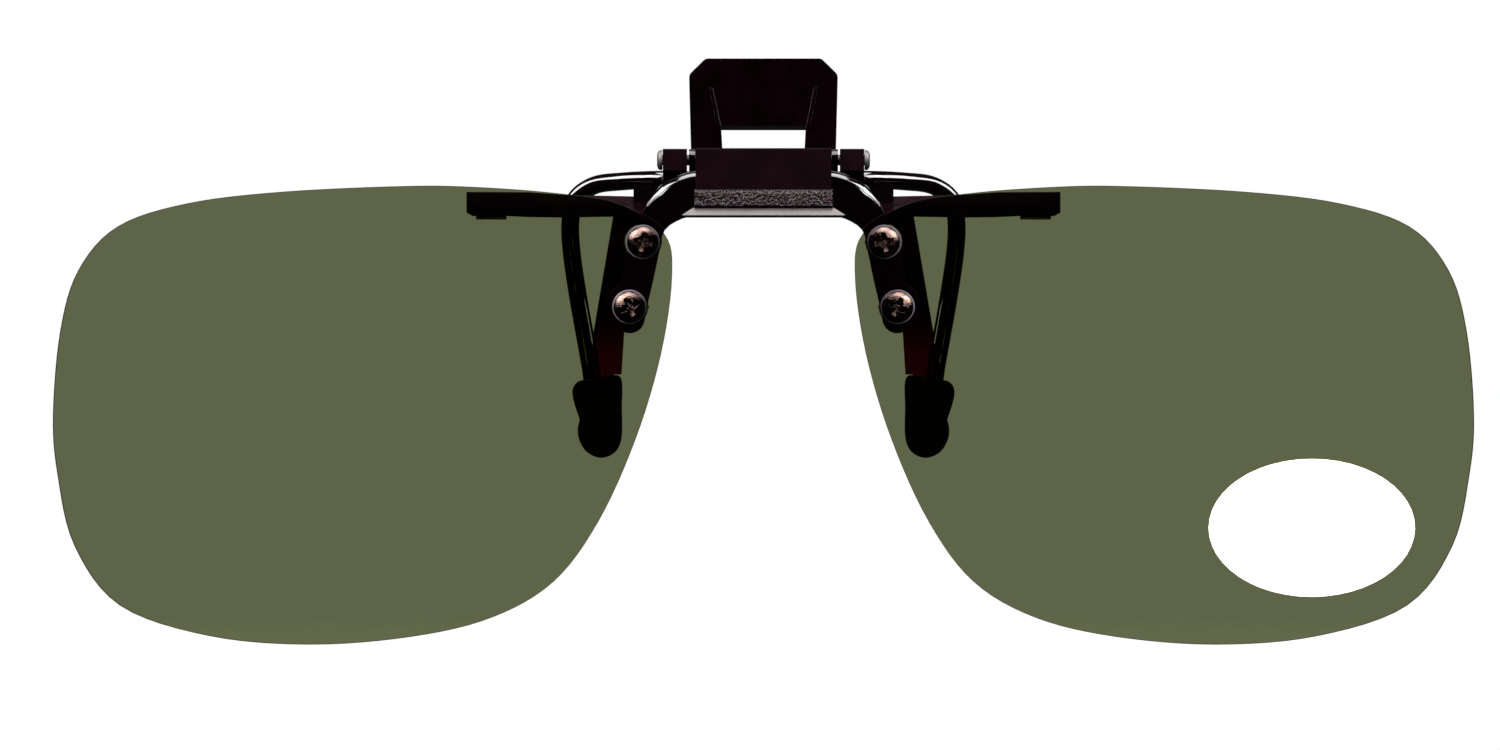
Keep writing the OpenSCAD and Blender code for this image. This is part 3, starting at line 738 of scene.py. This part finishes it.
def make_screw(side, sign, level):
    """Pan-head screw with a tapered cross recess; a paler colour painted on its thin flange stands in for the
    highlight ring round its edge.
    """
    x, z = SCREWS[level]
    front, seat, r = PLATE_FRONT - SCREW_HEAD_H, PLATE_FRONT - 0.02, SCREW_HEAD_R
    profile = [(radius, front + deep) for radius, deep in SCREW_DOME]
    profile += [(r - 0.02, front + 0.79), (r, front + 0.82), (r, front + 0.93), (1.56, seat)]
    profile += [(SCREW_R, seat), (SCREW_R, SCREW_END - 0.3), (0.6, SCREW_END)]
    piece = new_object(f"pan_screw_{level}_{side}", lathe(profile, 64, (sign * x, 0, z)))
    cut(piece, cross_cutter((sign * x, front, z), SCREW_TURN[level] * sign))
    rounded(piece, 0.03, 2, 38)
    finish_piece(to_metres(piece), [BRONZE, RING_PAINTED_HIGHLIGHT], "flip", f"screw_{level}_{side}")
    # the flange's front faces take the painted highlight ring
    for face in piece.data.polygons:
        c = face.center / MM
        on_ring = 1.495 < math.hypot(c.x - sign * x, c.z - z) < r
        face.material_index = 1 if on_ring and face.normal.y < -0.5 and c.y < front + 0.85 else 0
    return piece


def cross_cutter(at, turn):
    """A four-winged tapered cutter for the screw recess."""
    wing, web, waist = 1.04, 0.23, 0.42
    before, mouth, deep, floor_size = 0.2, 1.15, 0.62, 0.42
    outline = []
    for k in range(4):
        a = math.radians(90 * k)
        for u, v in ((wing, -web), (wing, web), (waist, web + 0.06)):
            outline.append((u * math.cos(a) - v * math.sin(a), u * math.sin(a) + v * math.cos(a)))
    n = len(outline)
    verts = []
    for depth, size in ((-before, mouth), (deep, floor_size)):
        for u, v in outline:
            verts.append((u * size, depth, v * size))
    faces = [tuple(range(n)), tuple(reversed(range(n, 2 * n)))]
    faces += [(k, (k + 1) % n, n + (k + 1) % n, n + k) for k in range(n)]
    mesh = mesh_from(verts, faces)
    mesh.transform(Matrix.Translation(at) @ Matrix.Rotation(math.radians(turn), 4, "Y"))
    outward(mesh)
    return new_object("cutter", mesh)


def make_fasteners():
    """Screws, nuts and washers; returns the screws of each side."""
    screws = {side: [] for side in SIDES}
    for side, sign in SIDES.items():
        for level in LEVELS:
            screws[side].append(make_screw(side, sign, level))
            nut = rounded(cad_copy(f"hex_nut_{level}_{side}", f"nut_{level}_{side}"), 0.1, 2)
            finish_piece(to_metres(nut), BRONZE, "flip", f"nut_{level}_{side}")
            washer = rounded(cad_copy(f"nylon_washer_{level}_{side}", f"washer_{level}_{side}"), 0.05, 2)
            finish_piece(to_metres(washer), NYLON, "flip", f"washer_{level}_{side}")
    return screws


make_base()
make_pin()
make_springs()
make_lever()
make_bridge()
make_band()
for side_name, side_sign in SIDES.items():
    make_lens(side_name, side_sign)
make_label()
SCREWS_MADE = make_fasteners()


# ------------------------------------------------------------------ stage, light and camera

FLOOR_RADIUS, FLOOR_ALBEDO, FLOOR_GLOW = 0.2, 0.03, 0.93
STUDIO_FRONT, STUDIO_BACK = 0.006, 0.035
CAMERA_DISTANCE, VIEW_WIDTH, SENSOR_WIDTH = 1.5, 0.14055, 36
VIEW_MIDDLE = (-1.265, -4, 4.357)  # millimetres


def make_floor():
    """A pale round floor under the lenses that fades out at its edge and doesn't show in their gloss."""
    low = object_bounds()[0].z
    bpy.ops.mesh.primitive_circle_add(
        vertices=96, radius=FLOOR_RADIUS, fill_type="NGON", location=(0, 0, low - 0.0002)
    )
    floor = bpy.context.object
    floor.name = "floor"
    made, nodes, links, out = material("floor_paper")
    where = nodes.new("ShaderNodeTexCoord")
    length = nodes.new("ShaderNodeVectorMath")
    length.operation = "LENGTH"
    links.new(where.outputs["Object"], length.inputs[0])
    ring = (FLOOR_RADIUS * 0.45, FLOOR_RADIUS * 0.98)
    fade = map_range(nodes, links, length.outputs["Value"], ring, (0.0, 1.0))
    paper = node(nodes, "ShaderNodeBsdfPrincipled", Roughness=1.0, Specular_IOR_Level=0.0)
    paper.inputs["Base Color"].default_value = (FLOOR_ALBEDO,) * 3 + (1,)
    paper.inputs["Emission Color"].default_value = (1, 1, 1, 1)
    seen = nodes.new("ShaderNodeLightPath")
    glow = arithmetic(nodes, links, "MULTIPLY", seen.outputs["Is Camera Ray"], FLOOR_GLOW)
    links.new(glow, paper.inputs["Emission Strength"])
    clear = node(nodes, "ShaderNodeBsdfTransparent")
    blend_shaders(nodes, links, fade, paper.outputs["BSDF"], clear.outputs["BSDF"], out)
    floor.data.materials.append(made)
    floor.visible_glossy = False


def make_world():
    """White to the camera; what the pieces reflect and receive is dark in front and grey behind."""
    world = bpy.data.worlds.new("studio")
    bpy.context.scene.world = world
    world.use_nodes = True
    nodes, links = world.node_tree.nodes, world.node_tree.links
    nodes.clear()
    out = nodes.new("ShaderNodeOutputWorld")
    where = nodes.new("ShaderNodeTexCoord")
    split = nodes.new("ShaderNodeSeparateXYZ")
    links.new(where.outputs["Generated"], split.inputs["Vector"])
    back = map_range(nodes, links, split.outputs["Y"], (-0.15, 0.9), (STUDIO_FRONT, STUDIO_BACK))
    studio = nodes.new("ShaderNodeBackground")
    links.new(back, studio.inputs["Strength"])
    white = node(nodes, "ShaderNodeBackground", Strength=1.0)
    for each in (studio, white):
        each.inputs["Color"].default_value = (1, 1, 1, 1)
    rays = nodes.new("ShaderNodeLightPath")
    seen = rays.outputs["Is Camera Ray"]
    blend_shaders(nodes, links, seen, studio.outputs["Background"], white.outputs["Background"], out)


def softbox(name, at, size, radiance, aim=(0, 0, 0.01), kept_off=()):
    """A rectangular soft light of an even radiance that points at the object and is kept off some pieces."""
    data = bpy.data.lights.new(name, "AREA")
    data.shape = "RECTANGLE"
    data.size, data.size_y = size
    data.energy = radiance * math.pi * size[0] * size[1]
    light = bpy.data.objects.new(name, data)
    light.visible_camera = False
    bpy.context.scene.collection.objects.link(light)
    light.location = at
    light.rotation_mode = "QUATERNION"
    light.rotation_quaternion = (Vector(aim) - Vector(at)).to_track_quat("-Z", "Y")
    if kept_off:
        group = bpy.data.collections.new(f"off_{name}")
        for piece in kept_off:
            group.objects.link(piece)
        for member in group.collection_objects:
            member.light_linking.link_state = "EXCLUDE"
        light.light_linking.receiver_collection = group
    return light


def make_camera():
    """Straight from the front through a long lens; 140.55 mm of the object's plane fill the width."""
    data = bpy.data.cameras.new("camera")
    data.sensor_width = SENSOR_WIDTH
    data.lens = SENSOR_WIDTH * CAMERA_DISTANCE / VIEW_WIDTH
    data.clip_start, data.clip_end = 0.01, 20
    camera = bpy.data.objects.new("camera", data)
    bpy.context.scene.collection.objects.link(camera)
    x, y, z = VIEW_MIDDLE
    camera.location = (x * MM, -CAMERA_DISTANCE + y * MM, z * MM)
    camera.rotation_euler = (math.radians(90), 0, 0)
    bpy.context.scene.camera = camera


make_floor()
make_world()
softbox("top", (0, -0.07, 0.5), (0.36, 0.42), 14.0)
softbox("back", (0, 0.5, 0.35), (0.8, 0.3), 2.5).visible_glossy = False
for side_name, side_sign in SIDES.items():
    other = SCREWS_MADE["left" if side_sign > 0 else "right"]
    softbox(f"{side_name}_box", (side_sign * 0.456, -0.32, 0.502), (0.42, 0.36), 22.0, kept_off=other)
    softbox(f"{side_name}_flank", (side_sign * 0.589, -0.05, 0.462), (0.34, 0.3), 20.0, kept_off=other)
    softbox(f"{side_name}_strip", (side_sign * 0.22, -0.48, 0.2), (0.035, 0.16), 55.0, kept_off=other)
make_camera()
bpy.context.scene.view_settings.view_transform = "Standard"
